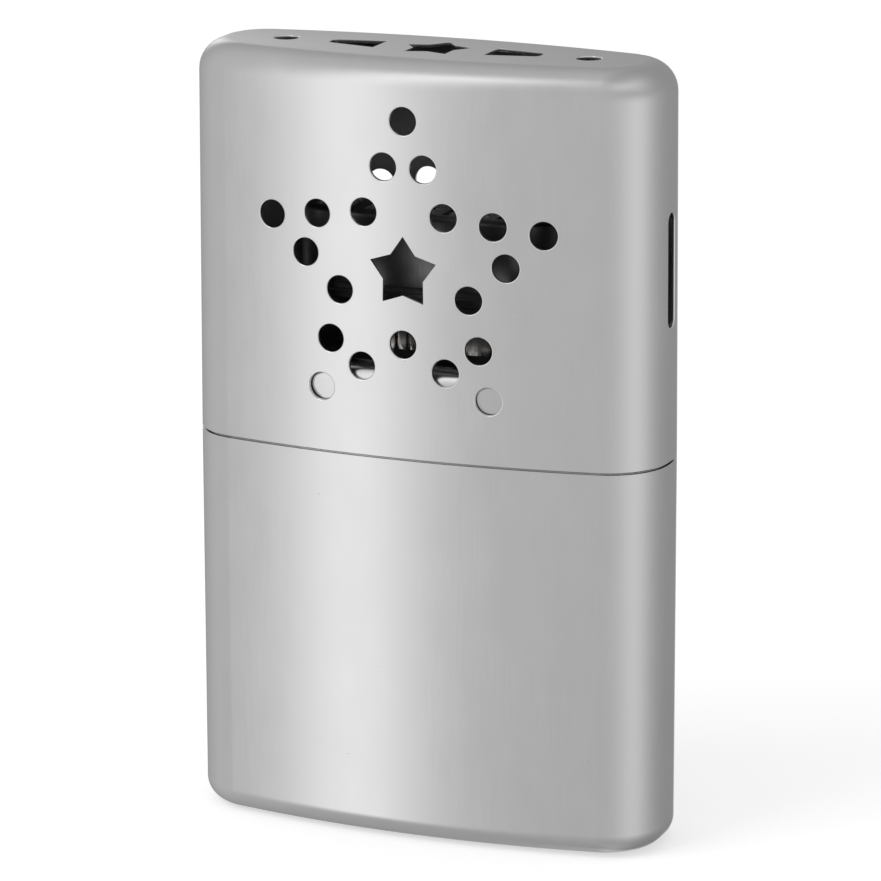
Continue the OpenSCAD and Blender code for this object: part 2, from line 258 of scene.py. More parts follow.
# %% Plated and bare metals
case_chrome = plated("satin chrome", 0.8, 0.24, rubbed=0.09)
case_inside = plated("unpolished inside", 0.4, 0.42, rubbed=0.12)
rolled_edge = plated("rolled edge", 0.95, 0.14, grain=0.2 * MM, rubbed=0.04)
# The collar's top plate and the neck below the sleeve get painted shade for the shade under the
# burner.
collar_chrome = plated("collar chrome", 0.74, 0.22, grain=(0.3 * MM, 0.3 * MM, 12 * MM),
                       rubbed=0.1, painted_shade_by_level=lambda level: (level - PLATE_Z) / (0.05 * MM) + 1)
neck_nickel = plated("neck nickel", 0.66, 0.3, tint=(1, 0.97, 0.92), rubbed=0.1,
                     painted_shade_by_level=lambda level: (SLEEVE_Z - level) / (0.3 * MM) + 1)
retainer_steel = plated("retainer steel", 0.5, 0.38, grain=(0.5 * MM, 0.1 * MM, 0.5 * MM),
                        rubbed=0.14)
rivet_steel = plated("rivet steel", 0.6, 0.32, grain=0.2 * MM, rubbed=0.1)
gauze_steel = plated("gauze steel", 0.42, 0.4, grain=0.3 * MM, rubbed=0.15)
print("nodes in the case's finish:", len(case_chrome.tree.nodes))

# %% [markdown]
# ## Burner metal
#
# The burner is the same nickel as the neck, but it has been hot. The oxide greys in bands: a
# trace of straw, then brown-grey, then a dull dark grey where it was hottest, near the
# catalyst. So the colour follows the height, with some noise so that the bands wander, and the
# roughness rises with it. Fine dark streaks run up from the fingers, where the burner is slid
# on and off.

# %% Heat-tinted nickel
OXIDE = [(0.0, (0.62, 0.61, 0.6)), (0.35, (0.5, 0.47, 0.43)), (0.6, (0.28, 0.25, 0.24)),
         (0.8, (0.2, 0.2, 0.21)), (1.0, (0.17, 0.17, 0.173))]
STREAK_COLOUR = (0.1, 0.1, 0.1)


def heated(name, low, high, streaks=0.25):
    """Nickel that stayed cool at one level and was hot at another, with upright streaks."""
    finish = Finish(name)
    wander = finish.cloud((4 * MM, 4 * MM, 1.5 * MM), detail=3)
    marks = finish.cloud((0.15 * MM, 0.15 * MM, 2 * MM), detail=2)
    heat = ((finish.level() - low) / (high - low) + (wander - 0.5) * 0.5).held()
    oxide = finish.node("ValToRGB", {"stops": OXIDE}, {"Fac": heat}, out="Color")
    streaked = streaks * ((marks - 0.5) * 3 + 0.5).held()
    return finish.surface(
        Base_Color=finish.blend(streaked, oxide, STREAK_COLOUR),
        Metallic=1.0,
        Roughness=0.28 + heat * 0.16 + (marks - 0.5) * 0.1,
        Normal=finish.relief(marks * 6e-7 + wander * 4e-6),
    )


sleeve_nickel = heated("heat-tinted sleeve", SLEEVE_Z + 0.6 * MM, SLEEVE_Z + 1.9 * MM, streaks=0.6)
cage_nickel = heated("heat-dulled cage", SLEEVE_Z - 6 * MM, CAGE_TOP - 4 * MM)
print("burner finishes span", round((CAGE_TOP - SLEEVE_Z) / MM, 1), "mm")

# %% [markdown]
# ## Fibre finishes
#
# Cotton, felt and the catalyst mat are all tangles of fibre. What tells them apart is how tight
# the tangle is and its colour. Noise is stretched differently in three directions and the
# strands are taken where it crosses its middle value, which gives thin wandering lines instead
# of blobs.

# %% Tangled fibre
STRAND_LONG, STRAND_WIDE = 9, 2  # size of the noise along and across, in strands
STRAND_CRISP = 9


def fibrous(name, pale, dark, strand, depth, sheen):
    """A tangle of strands of this thickness, in metres, raised by depth."""
    finish = Finish(name)
    lines = []
    for along in range(3):
        cell = tuple(strand * (STRAND_LONG if axis == along else STRAND_WIDE) for axis in range(3))
        from_middle = (finish.cloud(cell, detail=2, rough=0.7) - 0.5).size()
        lines.append(1 - (from_middle * STRAND_CRISP).held())
    tangle = (lines[0] + lines[1] + lines[2]).held()
    clumps = finish.cloud(strand * 40, detail=3)
    return finish.surface(
        Base_Color=finish.blend((tangle * 0.7 + clumps * 0.3).held(), dark, pale),
        Roughness=0.95 - tangle * 0.12,
        Normal=finish.relief(tangle * depth + clumps * (2 * depth)),
        Sheen_Weight=sheen,
        Sheen_Roughness=0.6,
    )


cotton_wadding = fibrous("cotton wadding", pale=(0.88, 0.87, 0.83), dark=(0.6, 0.58, 0.52),
                         strand=0.08 * MM, depth=9e-5, sheen=0.35)
felt_wool = fibrous("pressed felt", pale=(0.8, 0.75, 0.64), dark=(0.55, 0.5, 0.4),
                    strand=0.05 * MM, depth=4e-5, sheen=0.2)
catalyst_fibre = fibrous("catalyst fibre", pale=(0.1, 0.098, 0.096), dark=(0.02, 0.02, 0.02),
                         strand=0.05 * MM, depth=5e-5, sheen=0.0)
print("fibre finishes: cotton, felt, catalyst")

# %% [markdown]
# ## Hand tools
#
# A few short helpers do what the hands do in edit mode. A piece starts as one point. The point
# is pulled into a line and spun round a centre to make a profile, and the whole profile is then
# taken round the plan by the same two moves. An operator acts on all that is selected, so each
# helper says what it selects. With no window a spin turns the other way, so its angle is
# reversed here, once.

# %% Selecting, pulling and spinning
def only(*pieces):
    """Select these objects and nothing else, and make the first one active."""
    bpy.ops.object.select_all(action="DESELECT")
    for piece in pieces:
        piece.select_set(True)
    bpy.context.view_layer.objects.active = pieces[0]


def give(piece, name, finishes):
    """Name a new piece and give it its finishes, the outer one first."""
    piece.name = piece.data.name = name
    for finish in finishes:
        piece.data.materials.append(finish.material)
    return piece


def start_point(name, x, y, z, *finishes):
    """A new piece in edit mode that is one selected point."""
    bpy.ops.object.select_all(action="DESELECT")
    bpy.ops.mesh.primitive_plane_add(size=MM)
    piece = give(bpy.context.object, name, finishes)
    bpy.ops.object.mode_set(mode="EDIT")
    bpy.ops.mesh.select_all(action="SELECT")
    bpy.ops.mesh.merge(type="CENTER")
    bpy.ops.transform.translate(value=(x, y, z))
    return piece


def pull(x=0.0, y=0.0, z=0.0):
    """Extrude what is selected."""
    bpy.ops.mesh.extrude_region_move(TRANSFORM_OT_translate={"value": (x, y, z)})


def turn(x, y, z, angle, steps, axis=(0, 0, 1)):
    """Spin what is selected round a centre, anticlockwise about the axis."""
    bpy.ops.mesh.spin(steps=steps, angle=-angle, center=(x, y, z), axis=axis)


def choose(piece, wanted):
    """Select the points of a piece in edit mode whose place passes a test."""
    bpy.ops.mesh.select_all(action="DESELECT")
    shape = bmesh.from_edit_mesh(piece.data)
    for point in shape.verts:
        point.select = wanted(point.co)
    shape.select_flush(True)
    bmesh.update_edit_mesh(piece.data)


def trim(place, outwards):
    """Cut off what lies beyond a plane, and close the cut. The piece is in edit mode."""
    bpy.ops.mesh.select_all(action="SELECT")
    bpy.ops.mesh.bisect(plane_co=place, plane_no=outwards, use_fill=True, clear_outer=True)


def close_at(piece, *levels):
    """Fill the open loop at each of these heights with a flat sheet."""
    bpy.ops.mesh.select_all(action="SELECT")
    bpy.ops.mesh.remove_doubles(threshold=SAME_PLACE)
    for level in levels:
        choose(piece, lambda p: abs(p.z - level) < SAME_PLACE)
        bpy.ops.mesh.edge_face_add()


def leave(piece):
    """Merge the doubles, point the faces outwards and go back to object mode."""
    bpy.ops.mesh.select_all(action="SELECT")
    bpy.ops.mesh.remove_doubles(threshold=SAME_PLACE)
    bpy.ops.mesh.normals_make_consistent(inside=False)
    bpy.ops.object.mode_set(mode="OBJECT")
    return piece


# %% Modifiers, joining and cutting
def modify(piece, kind, **settings):
    """Add a modifier with its settings and apply it at once."""
    only(piece)
    change = piece.modifiers.new(kind.title(), kind)
    for setting, value in settings.items():
        setattr(change, setting, value)
    bpy.ops.object.modifier_apply(modifier=change.name)
    return piece


def thicken(piece, wall):
    """Give a sheet its thickness inwards. Its inner skin takes the second finish."""
    return modify(piece, "SOLIDIFY", thickness=wall, offset=-1, use_even_offset=True,
                  material_offset=1, material_offset_rim=0)


def soften(piece, width, segments=2):
    """Take the burr off the edges and even out the shading, as tumbling does to pressed sheet."""
    modify(piece, "BEVEL", width=width, segments=segments, limit_method="ANGLE",
           angle_limit=SHARP, use_clamp_overlap=False)
    bpy.ops.object.shade_smooth_by_angle(angle=SHARP)
    return modify(piece, "WEIGHTED_NORMAL", keep_sharp=True, weight=80)


def copy_of(piece, place=(0, 0, 0), turned=0.0):
    """A copy with its own mesh, moved and turned about Z."""
    twin = piece.copy()
    twin.data = piece.data.copy()
    bpy.context.collection.objects.link(twin)
    twin.location = place
    twin.rotation_euler.z = turned
    return twin


def join(name, pieces):
    """Join pieces where they stand."""
    only(*pieces)
    bpy.ops.object.join()
    joined = bpy.context.object
    joined.name = joined.data.name = name
    bpy.ops.object.transform_apply()
    return joined


def cut(piece, tool, operation="DIFFERENCE"):
    """Cut a tool out of a piece, or keep only what is inside it. The tool is used up."""
    modify(piece, "BOOLEAN", operation=operation, solver="EXACT", object=tool)
    bpy.data.objects.remove(tool)
    return piece


def stand_in(piece, node, body):
    """Put a finished piece in the place of its CAD node."""
    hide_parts(node)
    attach(piece, body)
    print(piece.name, "stands for", node, "with", len(piece.data.polygons), "faces")


# %% [markdown]
# ## The plan of the case
#
# Seen from above, the case has two long shallow arcs for its faces, a rounder arc at each of
# its four corners and a short flat at each end. Every arc meets the next one tangentially,
# which is what makes reflections run smoothly round the real case, so the radii are worked out
# and not drawn by eye. A profile that stands at the right-hand end is pulled along the flat and
# spun round each arc in turn. The number of steps over a face also decides where its strips
# meet. A joint that runs just outside a vent leaves a sliver in which the vent's rolled edge
# has no room, and nineteen steps keep clear of all vents.

# %% Plan of the case
CORNER_R = 8.4 * MM
END_FLAT = 1.9 * MM
CORNER_X = HALF_W - CORNER_R
CORNER_Y = END_FLAT / 2
BULGE = HALF_D - CORNER_Y
FACE_R = (CORNER_X**2 + BULGE**2 - CORNER_R**2) / (2 * (BULGE - CORNER_R))
FACE_Y = FACE_R - HALF_D
FACE_ANGLE = asin(CORNER_X / (FACE_R - CORNER_R))
CORNER_STEPS, FACE_STEPS = 18, 19


def round_case():
    """Take the profile, which stands at the right-hand end, once round the plan of the case."""
    bpy.ops.mesh.select_all(action="SELECT")
    pull(y=END_FLAT)
    for side in (1, -1):
        turn(side * CORNER_X, side * CORNER_Y, 0, pi / 2 - FACE_ANGLE, CORNER_STEPS)
        turn(0, -side * FACE_Y, 0, 2 * FACE_ANGLE, FACE_STEPS)
        turn(-side * CORNER_X, side * CORNER_Y, 0, pi / 2 - FACE_ANGLE, CORNER_STEPS)
        if side == 1:
            pull(y=-END_FLAT)


def case_cup(name, inset, low, high, crown, finishes, steps=10, draft=0.0, rows=1):
    """A sheet with the plan of the case, open at low and rounded over to a flat at high.

    The wall rises in this many rows and leans in by the draft over its height."""
    end = HALF_W - inset
    bend = 1 if high > low else -1
    wall_end = high - bend * crown
    cup = start_point(name, end, -CORNER_Y, low, *finishes)
    for _ in range(rows):
        pull(x=-draft / rows, z=(wall_end - low) / rows)
    turn(end - draft - crown, -CORNER_Y, wall_end, radians(90), steps, axis=(0, -bend, 0))
    round_case()
    close_at(cup, high)
    return leave(cup)


print("face radius", round(FACE_R / MM, 1), "mm over", round(degrees(2 * FACE_ANGLE), 1), "degrees")

# %% [markdown]
# ## The cap
#
# The real cap is deep-drawn: a flat blank is pushed through a ring, which leaves walls with a
# slight draft, a rounded crown and one even thickness. Here a point is pulled up the wall and
# spun over the crown, the profile goes round the plan, the top is closed, and the sheet is
# thickened inwards. The vents are then punched in one stroke: twenty round holes on the outline
# of a plain star, a star in the middle, a slot in each end, and five holes in the top.

# %% Cap shell, before it is pierced
CAP_WALL = 0.5 * MM
CROWN_R = 4.1 * MM
DRAFT, WALL_ROWS = 0.26 * MM, 9  # the rows too keep clear of the vents' edges
cap = case_cup("cap", 0, RIM_Z, TOP_Z, CROWN_R, (case_chrome, case_inside, rolled_edge),
               draft=DRAFT, rows=WALL_ROWS)
thicken(cap, CAP_WALL)
blank = copy_of(cap)
print("cap blank:", len(cap.data.polygons), "faces")

# %% Punches
PATTERN_Z = RIM_Z + 24.75 * MM
SLOT_Z = RIM_Z + 25.45 * MM
THROUGH = 2 * HALF_D + 2 * MM
TO_FRONT = (pi / 2, 0, 0)


def star(tip, notch):
    """Corners of a star with its first tip upwards."""
    return [(r * sin(pi * i / 5), r * cos(pi * i / 5)) for i, r in enumerate([tip, notch] * 5)]


def rod(radius, depth, place, turned=(0, 0, 0), sides=64):
    """A round punch."""
    bpy.ops.object.select_all(action="DESELECT")
    bpy.ops.mesh.primitive_cylinder_add(vertices=sides, radius=radius, depth=depth,
                                        location=place, rotation=turned)
    return bpy.context.object


def prism(corners, depth, place, turned=(0, 0, 0)):
    """A straight-sided punch with this outline."""
    bpy.ops.object.select_all(action="DESELECT")
    bpy.ops.mesh.primitive_circle_add(vertices=len(corners), radius=MM, fill_type="NGON")
    tool = bpy.context.object
    for point, (x, y) in zip(tool.data.vertices, corners):
        point.co = (x, y, -depth / 2)
    bpy.ops.object.mode_set(mode="EDIT")
    bpy.ops.mesh.select_all(action="SELECT")
    pull(z=depth)
    leave(tool)
    tool.rotation_euler = turned
    tool.location = place
    return tool


def slot_outline(width, length, steps=12):
    """Corners of a round-ended slot, longer along Y."""
    half = (length - width) / 2
    arc = [pi * i / steps for i in range(steps + 1)]
    upper = [(width / 2 * cos(a), half + width / 2 * sin(a)) for a in arc]
    return upper + [(-x, -y) for x, y in upper]


# %% Pierce the cap
VENT_R, VENT_TIP, VENT_NOTCH = 1.84 * MM, 20 * MM, 9.5 * MM
SMALL_STAR = star(4.85 * MM, 2.95 * MM)
TAPER_NEAR, TAPER_FAR, TAPER_CORNER = 7.8 * MM, 14.8 * MM, 0.5 * MM
TAPER_HALF_WIDTHS = 2.7 * MM, 1.35 * MM, 0.85 * MM
TOP_HOLE_R, TOP_HOLE_X = 1.65 * MM, 21.3 * MM
SLOT_W, SLOT_L = 2.4 * MM, 15.2 * MM
STROKE = 3 * MM
corners = star(VENT_TIP, VENT_NOTCH)
punches = []
for here, following in zip(corners, corners[1:] + corners[:1]):
    halfway = ((here[0] + following[0]) / 2, (here[1] + following[1]) / 2)
    for x, z in (here, halfway):
        punches.append(rod(VENT_R, THROUGH, (x, 0, PATTERN_Z + z), TO_FRONT))
punches.append(prism(SMALL_STAR, THROUGH, (0, 0, PATTERN_Z), TO_FRONT))
punches.append(prism(SMALL_STAR, STROKE, (0, 0, TOP_Z)))
for side in (1, -1):
    stations = (side * TAPER_NEAR, side * (TAPER_FAR - TAPER_CORNER), side * TAPER_FAR)
    half = list(zip(stations, TAPER_HALF_WIDTHS))
    punches.append(prism(half + [(x, -y) for x, y in half[::-1]], STROKE, (0, 0, TOP_Z)))
    punches.append(rod(TOP_HOLE_R, STROKE, (side * TOP_HOLE_X, 0, TOP_Z)))
punches.append(prism(slot_outline(SLOT_W, SLOT_L), 2 * HALF_W + 2 * MM, (0, 0, SLOT_Z),
                     (pi / 2, 0, pi / 2)))
print("punches:", len(punches))
cut(cap, join("punch", punches))

# %% [markdown]
# ## Punched edges
#
# A punch draws the sheet in a little where it enters, so the outer edge of every round hole and
# slot is rolled over and bright, while the pointed holes, the inner edges and the rim only lose
# their burr. The cut leaves crumbs where a vent's edge crosses a row of the sheet, and these
# are merged first, because a crumb leaves the bevel no room. Then each sharp edge is given its
# share of one bevel. A bevel bends the shading of the faces beside it, which a mirror shows at
# once, so all that lies on the old skin takes its normals from the sheet as it was before it
# was pierced.

# %% Merge the crumbs
CRUMB, SLIVER = 0.05 * MM, 0.01 * MM
only(cap)
bpy.ops.object.mode_set(mode="EDIT")
bpy.ops.mesh.select_all(action="SELECT")
bpy.ops.mesh.remove_doubles(threshold=CRUMB)
bpy.ops.mesh.dissolve_degenerate(threshold=SLIVER)
bpy.ops.object.mode_set(mode="OBJECT")
print("pierced cap:", len(cap.data.polygons), "faces")


# %% Round the edges
ROLL_W, BURR_SHARE = 0.15 * MM, 0.3
REAL_FACE = 1e-4 * MM**2
STAR_REACH, TAPER_REACH = 6 * MM, 16 * MM
ON_SKIN = 0.01 * MM


def weigh(piece, wanted, weight):
    """Give the sharp edges that pass a test this share of the next bevel."""
    only(piece)
    bpy.ops.object.mode_set(mode="EDIT")
    bpy.ops.mesh.select_mode(type="EDGE")
    bpy.ops.mesh.select_all(action="DESELECT")
    shape = bmesh.from_edit_mesh(piece.data)
    for edge in shape.edges:
        real = edge.is_manifold and all(face.calc_area() > REAL_FACE for face in edge.link_faces)
        edge.select = real and edge.calc_face_angle() > SHARP and wanted(edge)
    bmesh.update_edit_mesh(piece.data)
    bpy.ops.transform.edge_bevelweight(value=weight)
    bpy.ops.mesh.select_mode(type="VERT")
    bpy.ops.object.mode_set(mode="OBJECT")


def rolled(edge):
    """Whether an edge is the outer edge of a round hole or slot."""
    outside = all(face.material_index == 0 for face in edge.link_faces)
    x, _, z = edge.verts[0].co
    in_star = sqrt(x**2 + (z - PATTERN_Z)**2) < STAR_REACH
    in_top = z > TOP_Z - MM and abs(x) < TAPER_REACH
    return outside and not in_star and not in_top and z > RIM_Z + 0.1 * MM


weigh(cap, rolled, 1.0)
weigh(cap, lambda edge: not rolled(edge), BURR_SHARE)
modify(cap, "BEVEL", width=ROLL_W, segments=4, limit_method="WEIGHT", material=2,
       use_clamp_overlap=False, loop_slide=False)
for piece in (cap, blank):
    only(piece)
    bpy.ops.object.shade_smooth_by_angle(angle=SHARP)
modify(cap, "DATA_TRANSFER", object=blank, use_loop_data=True,
       data_types_loops={"CUSTOM_NORMAL"}, loop_mapping="POLYINTERP_NEAREST",
       use_max_distance=True, max_distance=ON_SKIN)
bpy.data.objects.remove(blank)
stand_in(cap, "cap_shell", "cap")

# %% [markdown]
# ## The tank
#
# The tank is the same draw the other way up, with a smaller radius at the foot, and it is open
# at the seam. Its wall is thicker than the cap's by the cap's clearance, so that the two skins
# lie flush.

# %% Tank shell
FOOT_R, TANK_WALL = 3.1 * MM, 0.75 * MM
tank = case_cup("tank", 0, SEAM_Z, 0.0, FOOT_R, (case_chrome, case_inside))
thicken(tank, TANK_WALL)
soften(tank, 0.09 * MM)
stand_in(tank, "tank_shell", "tank")

# %% [markdown]
# ## The collar
#
# The collar is soldered inside the tank and stands up into the cap. It has a rounded shoulder,
# a flat top plate with an oval hole for the neck, and two narrow beads on each face that are
# pressed out from inside and grip the cap. The walls are cut into a fine grid where the beads
# go, and the middle of each bead is then moved out with a soft falloff, which leaves the smooth
# flanks that pressed sheet has.

# %% Collar sheet
COLLAR_X, _, LAP_Z, _ = reach("tank_collar")
SHEET = 0.5 * MM
SHOULDER_R = 2.6 * MM
WALL_TOP = PLATE_Z - SHOULDER_R
BEAD_X, BEAD_HALF, BEAD_RISE, BEAD_FLANK = 17 * MM, 2.25 * MM, 0.15 * MM, 0.95 * MM
BEAD_Z = SEAM_Z + (PLATE_Z - SEAM_Z - SHOULDER_R) / 2
GRID_X, GRID_Z = 0.2 * MM, 0.3 * MM
collar = case_cup("collar", HALF_W - COLLAR_X, LAP_Z, PLATE_Z, SHOULDER_R,
                  (collar_chrome, case_inside))
bpy.ops.object.mode_set(mode="EDIT")
for x in [side * BEAD_X + i * GRID_X for side in (1, -1) for i in range(-6, 7)]:
    choose(collar, lambda p: abs(abs(p.x) - BEAD_X) < 4 * MM and p.z < WALL_TOP + 0.01 * MM)
    bpy.ops.mesh.bisect(plane_co=(x, 0, 0), plane_no=(1, 0, 0))
for z in [BEAD_Z + i * GRID_Z for i in range(-11, 12)]:
    choose(collar, lambda p: p.z < WALL_TOP + 0.01 * MM)
    bpy.ops.mesh.bisect(plane_co=(0, 0, z), plane_no=(0, 0, 1))
for side in (1, -1):
    for face in (1, -1):
        choose(collar, lambda p: p.y * face > 4 * MM and abs(p.x - side * BEAD_X) < GRID_X / 2
               and abs(p.z - BEAD_Z) < BEAD_HALF)
        bpy.ops.transform.translate(value=(0, face * BEAD_RISE, 0), use_proportional_edit=True,
                                    proportional_edit_falloff="SMOOTH",
                                    proportional_size=BEAD_FLANK)
leave(collar)
thicken(collar, SHEET)
print("collar sheet:", len(collar.data.polygons), "faces")


# %% Oval sections
OVAL_STEPS = 16  # in a quarter turn


def round_oval(straight):
    """Take the profile, which stands at the right-hand end, round an oval with these straights."""
    bpy.ops.mesh.select_all(action="SELECT")
    turn(straight / 2, 0, 0, pi / 2, OVAL_STEPS)
    pull(x=-straight)
    turn(-straight / 2, 0, 0, pi, 2 * OVAL_STEPS)
    pull(x=straight)
    turn(straight / 2, 0, 0, pi / 2, OVAL_STEPS)


def oval_ring(name, x, z, moves, straight, *finishes):
    """A closed ring: its section starts at x, z and follows the moves, then goes back to there."""
    ring = start_point(name, x, 0, z, *finishes)
    for across, rise in moves:
        pull(x=across, z=rise)
    pull(x=-sum(across for across, _ in moves), z=-sum(rise for _, rise in moves))
    round_oval(straight)
    return leave(ring)


def oval_block(name, half_x, half_y, low, high, *finishes):
    """A solid oval, closed above and below."""
    block = start_point(name, half_x, 0, low, *finishes)
    pull(z=high - low)
    round_oval(2 * (half_x - half_y))
    close_at(block, low, high)
    return leave(block)


# %% Hole for the neck
FLANGE_X, FLANGE_Y, FLANGE_Z, NECK_TOP = reach("filler_neck")
FLANGE_W = 1.4 * MM
NECK_X, NECK_Y = FLANGE_X - FLANGE_W, FLANGE_Y - FLANGE_W
SOLDER = 0.05 * MM
cut(collar, oval_block("neck_hole", NECK_X + SOLDER, NECK_Y + SOLDER,
                       PLATE_Z - MM, PLATE_Z + MM))
soften(collar, 0.06 * MM)
stand_in(collar, "tank_collar", "tank")

# %% [markdown]
# ## Neck and cotton retainer
#
# The neck is an oval tube with a flange that is soldered under the top plate. Its wall is drawn
# as a closed section and taken round the oval, which is the sure way to get both skins of a
# tube with a flange. Its mouth is rounded so that the burner slides on easily. A pressed cup
# with staggered holes sits in its lower end and keeps the cotton out of the way of the filler
# cup.

# %% Neck
FLANGE_T = SHEET - SOLDER
neck = oval_ring("neck", FLANGE_X, FLANGE_Z, [
    (0, FLANGE_T), (-FLANGE_W, 0), (0, NECK_TOP - FLANGE_Z - FLANGE_T), (-SHEET, 0),
    (0, FLANGE_Z - NECK_TOP)], 2 * (NECK_X - NECK_Y), neck_nickel)
soften(neck, 0.13 * MM, segments=3)
stand_in(neck, "filler_neck", "tank")

# %% Cotton retainer
CUP_X, CUP_Y, CUP_Z, CUP_TOP = reach("cotton_retainer")
CUP_BEND = 0.8 * MM
cup = start_point("retainer", CUP_X, 0, CUP_TOP, retainer_steel)
pull(z=CUP_Z + CUP_BEND - CUP_TOP)
turn(CUP_X - CUP_BEND, 0, CUP_Z + CUP_BEND, radians(90), 5, axis=(0, 1, 0))
round_oval(2 * (CUP_X - CUP_Y))
close_at(cup, CUP_Z)
leave(cup)
thicken(cup, SHEET)
HOLE_R, HOLE_PITCH = 0.95 * MM, 3 * MM
drill = rod(HOLE_R, 4 * MM, (0, 0, CUP_Z), sides=28)
drills = []
for row, count in ((0, 5), (1, 6), (-1, 6)):
    for i in range(count):
        across = (i - (count - 1) / 2) * HOLE_PITCH
        drills.append(copy_of(drill, (across, row * HOLE_PITCH * sin(radians(60)), CUP_Z)))
bpy.data.objects.remove(drill)
cut(cup, join("drills", drills))
soften(cup, 0.05 * MM)
stand_in(cup, "cotton_retainer", "tank")

# %% [markdown]
# ## Cotton and felt
#
# The tank is packed with three layers of cotton wadding, and a felt pad hands the fuel on to
# the neck. Nothing stretches or hangs here: the wadding fills its space and is held by the
# walls, so cloth simulation has nothing to do. Each layer is cut from the shape of the tank's
# inside, remeshed into even faces, drawn in a little, and pushed in and out by noise, coarse
# for the tufts and finer for the nap.

# %% Soft solids
def tufts(size):
    """Noise for a displacement, with lumps of this size."""
    pattern = bpy.data.textures.new("tufts", "CLOUDS")
    pattern.noise_scale = size
    pattern.noise_depth = 2
    return pattern


def fluff(piece, voxel, inwards, lumps, nap):
    """Remesh a solid, draw it in, and push its skin about. lumps and nap are (size, height)."""
    modify(piece, "REMESH", mode="VOXEL", voxel_size=voxel)
    modify(piece, "SMOOTH", factor=0.5, iterations=4)
    modify(piece, "DISPLACE", strength=-inwards, mid_level=0.0)
    for size, height in (lumps, nap):
        modify(piece, "DISPLACE", strength=height, mid_level=0.5, texture=tufts(size))
    only(piece)
    bpy.ops.object.shade_smooth()
    return piece


# %% Three layers of wadding
COTTON_X, _, COTTON_Z, COTTON_TOP = reach("cotton_middle")
COTTON_BEND = 2.3 * MM
batt = case_cup("batt", HALF_W - COTTON_X, COTTON_TOP, COTTON_Z, COTTON_BEND,
                (cotton_wadding,), steps=6)
bpy.ops.object.mode_set(mode="EDIT")
close_at(batt, COTTON_TOP)
leave(batt)
for layer in ("front", "middle", "rear"):
    node = "cotton_" + layer
    low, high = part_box(node)
    wadding = give(copy_of(batt), "wadding_" + layer, [])
    only(wadding)
    bpy.ops.object.mode_set(mode="EDIT")
    for level, side in ((low.y, -1), (high.y, 1)):
        trim((0, level, 0), (0, side, 0))
    leave(wadding)
    fluff(wadding, 0.7 * MM, 0.35 * MM, (6 * MM, 0.5 * MM), (1.2 * MM, 0.2 * MM))
    stand_in(wadding, node, "tank")
bpy.data.objects.remove(batt)

# %% Felt pad
FELT_X, FELT_Y, FELT_Z, FELT_TOP = reach("wick_felt")
felt = oval_block("felt", FELT_X, FELT_Y, FELT_Z, FELT_TOP, felt_wool)
modify(felt, "BEVEL", width=0.5 * MM, segments=3, limit_method="ANGLE", angle_limit=SHARP)
fluff(felt, 0.3 * MM, 0.08 * MM, (3 * MM, 0.12 * MM), (0.6 * MM, 0.05 * MM))
stand_in(felt, "wick_felt", "tank")

# %% [markdown]
# ## The burner sleeve
#
# The sleeve grips the neck with a row of sprung fingers, and its upper end is spread into an
# oval tray that carries the cage. The tube's wall is drawn as a closed section: the lower edge
# bows in and flares out again, which is what makes the fingers springy, and a ledge inside
# rests on the neck. The slits between the fingers are cut with one thin blade, copied along
# both sides and fanned round both ends. The tray is a drawn cup. It is made as tall as its four
# ears and then cut down between them, as a blanking tool would do it, and the tube is welded to
# its floor.

# %% Sleeve section
TRAY_X, TRAY_Y, _, EAR_TOP = reach("burner_sleeve")
CAGE_X, CAGE_Y, CAGE_Z, _ = reach("burner_cage")
SLEEVE_WALL = 0.4 * MM
SLEEVE_GROWTH = 0.7 * MM
SLEEVE_X, SLEEVE_Y = NECK_X + SLEEVE_GROWTH, NECK_Y + SLEEVE_GROWTH
TRAY_Z = CAGE_Z - SOLDER - SLEEVE_WALL
TRAY_TOP = TRAY_Z + 1.1 * MM
LEDGE_Z = NECK_TOP + 0.1 * MM
LEDGE_W = 0.8 * MM
FINGER_H = 2.4 * MM
BOW = 0.12 * MM
SLEEVE_STRAIGHT = 2 * (SLEEVE_X - SLEEVE_Y)
third = FINGER_H / 3
tube_top = TRAY_Z + SLEEVE_WALL / 2
above = tube_top - LEDGE_Z - SLEEVE_WALL
sleeve = oval_ring("sleeve", SLEEVE_X, SLEEVE_Z, [
    (-BOW, third), (0, third), (BOW, third), (0, tube_top - SLEEVE_Z - FINGER_H), (-SLEEVE_WALL, 0),
    (0, -above), (-LEDGE_W, 0), (0, -SLEEVE_WALL), (LEDGE_W, 0), (0, SLEEVE_Z + FINGER_H - LEDGE_Z),
    (-BOW, -third), (0, -third), (BOW, -third)], SLEEVE_STRAIGHT, sleeve_nickel)
print("sleeve:", round((tube_top - SLEEVE_Z) / MM, 2), "mm tall")


# %% Sprung fingers
def blade(size, place, turned=0.0):
    """A straight cutter of this size."""
    bpy.ops.object.select_all(action="DESELECT")
    bpy.ops.mesh.primitive_cube_add(size=1, location=place, rotation=(0, 0, turned), scale=size)
    return bpy.context.object


FINGER_PITCH, FINGER_FAN = 1.6 * MM, 20  # along the sides in metres, round the ends in degrees
SLIT, SLIT_H = 0.6 * MM, FINGER_H + 2 * MM
slit_z = SLEEVE_Z + FINGER_H / 2 - MM
blades = [blade((SLIT, 4 * SLEEVE_Y, SLIT_H), (i * FINGER_PITCH, 0, slit_z)) for i in range(-4, 5)]
for end in (1, -1):
    for fan in [radians(FINGER_FAN * i) for i in range(-3, 4)]:
        x, y = SLEEVE_STRAIGHT / 2 + SLEEVE_Y * cos(fan), SLEEVE_Y * sin(fan)
        blades.append(blade((SLEEVE_Y, SLIT, SLIT_H), (end * x, end * y, slit_z), fan))
cut(sleeve, join("blades", blades))
print("fingers cut with", len(blades), "blades")

